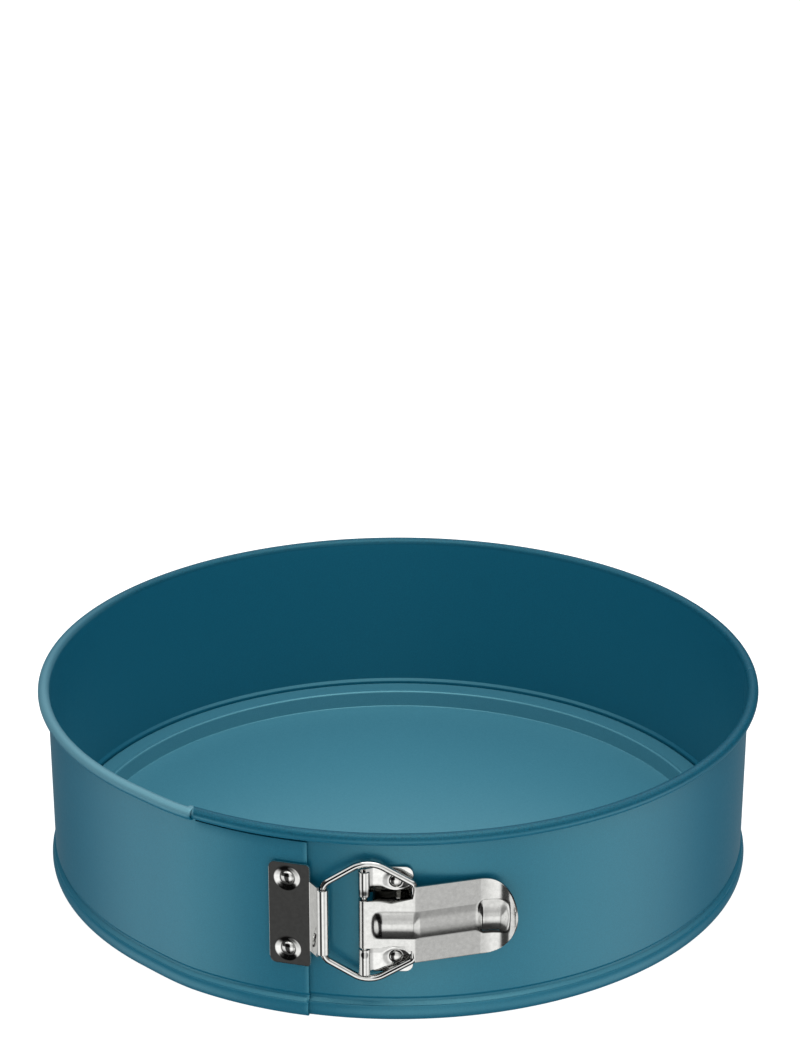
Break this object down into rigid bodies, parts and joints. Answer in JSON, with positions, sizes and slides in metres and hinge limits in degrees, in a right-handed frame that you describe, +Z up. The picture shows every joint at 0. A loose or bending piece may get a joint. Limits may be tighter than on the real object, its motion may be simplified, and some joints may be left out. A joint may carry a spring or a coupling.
{
  "type": "springform pan",
  "caption": "Round baking pan with a coated sheet steel side band, a loose dished base held in its groove, and an over-centre lever latch that spreads the band.",
  "frame": {"origin": "centre of the underside of the base's floor, on the pan's axis and in the plane of the table", "axes": "+Z up along the pan's axis; the latch is on the -Y side with its catch bracket towards -X and its lever's tip towards +X"},
  "size_m": [0.2684, 0.2716, 0.0717],
  "materials": {
    "coated_band": "glossy non-stick coating with a fine metallic flake",
    "coated_base": "glossy non-stick coating with a fine metallic flake",
    "satin_lever": "satin nickel plate",
    "plated_steel": "bright nickel plate"
  },
  "bodies": {
    "band_right": {"side_band_right": "coated_band", "hinge_plate": "plated_steel", "hinge_pin": "plated_steel", "hinge_rivet_upper": "plated_steel", "hinge_rivet_lower": "plated_steel"},
    "band_left": {"side_band_left": "coated_band", "catch_plate": "plated_steel", "catch_rivet_upper": "plated_steel", "catch_rivet_lower": "plated_steel"},
    "lever": {"lever": "satin_lever"},
    "bail": {"bail": "plated_steel"},
    "base": {"base_plate": "coated_base"}
  },
  "joints": [
    {"name": "lever_hinge", "type": "hinge", "parent": "band_right", "child": "lever", "pos_m": [-0.01134, -0.13382, 0.0394], "axis": [0, 0, -1], "range_deg": [0, 90]},
    {"name": "ring_flex", "type": "hinge", "parent": "band_right", "child": "band_left", "pos_m": [0, 0.1354, 0], "axis": [0, 0, -1], "range_deg": [0, 2]},
    {"name": "bail_pivot", "type": "hinge", "parent": "band_left", "child": "bail", "pos_m": [-0.02535, -0.1329, 0.0394], "axis": [0, 0, -1], "range_deg": [0, 35.8]},
    {"name": "base_lift", "type": "slide", "parent": "band_right", "child": "base", "axis": [0, 0, 1], "range_m": [0, 0.085]}
  ],
  "couplings": [
    {"joint": "ring_flex", "follows": "lever_hinge", "ratio": 0.0219},
    {"joint": "bail_pivot", "follows": "lever_hinge", "ratio": 0.3973}
  ]
}
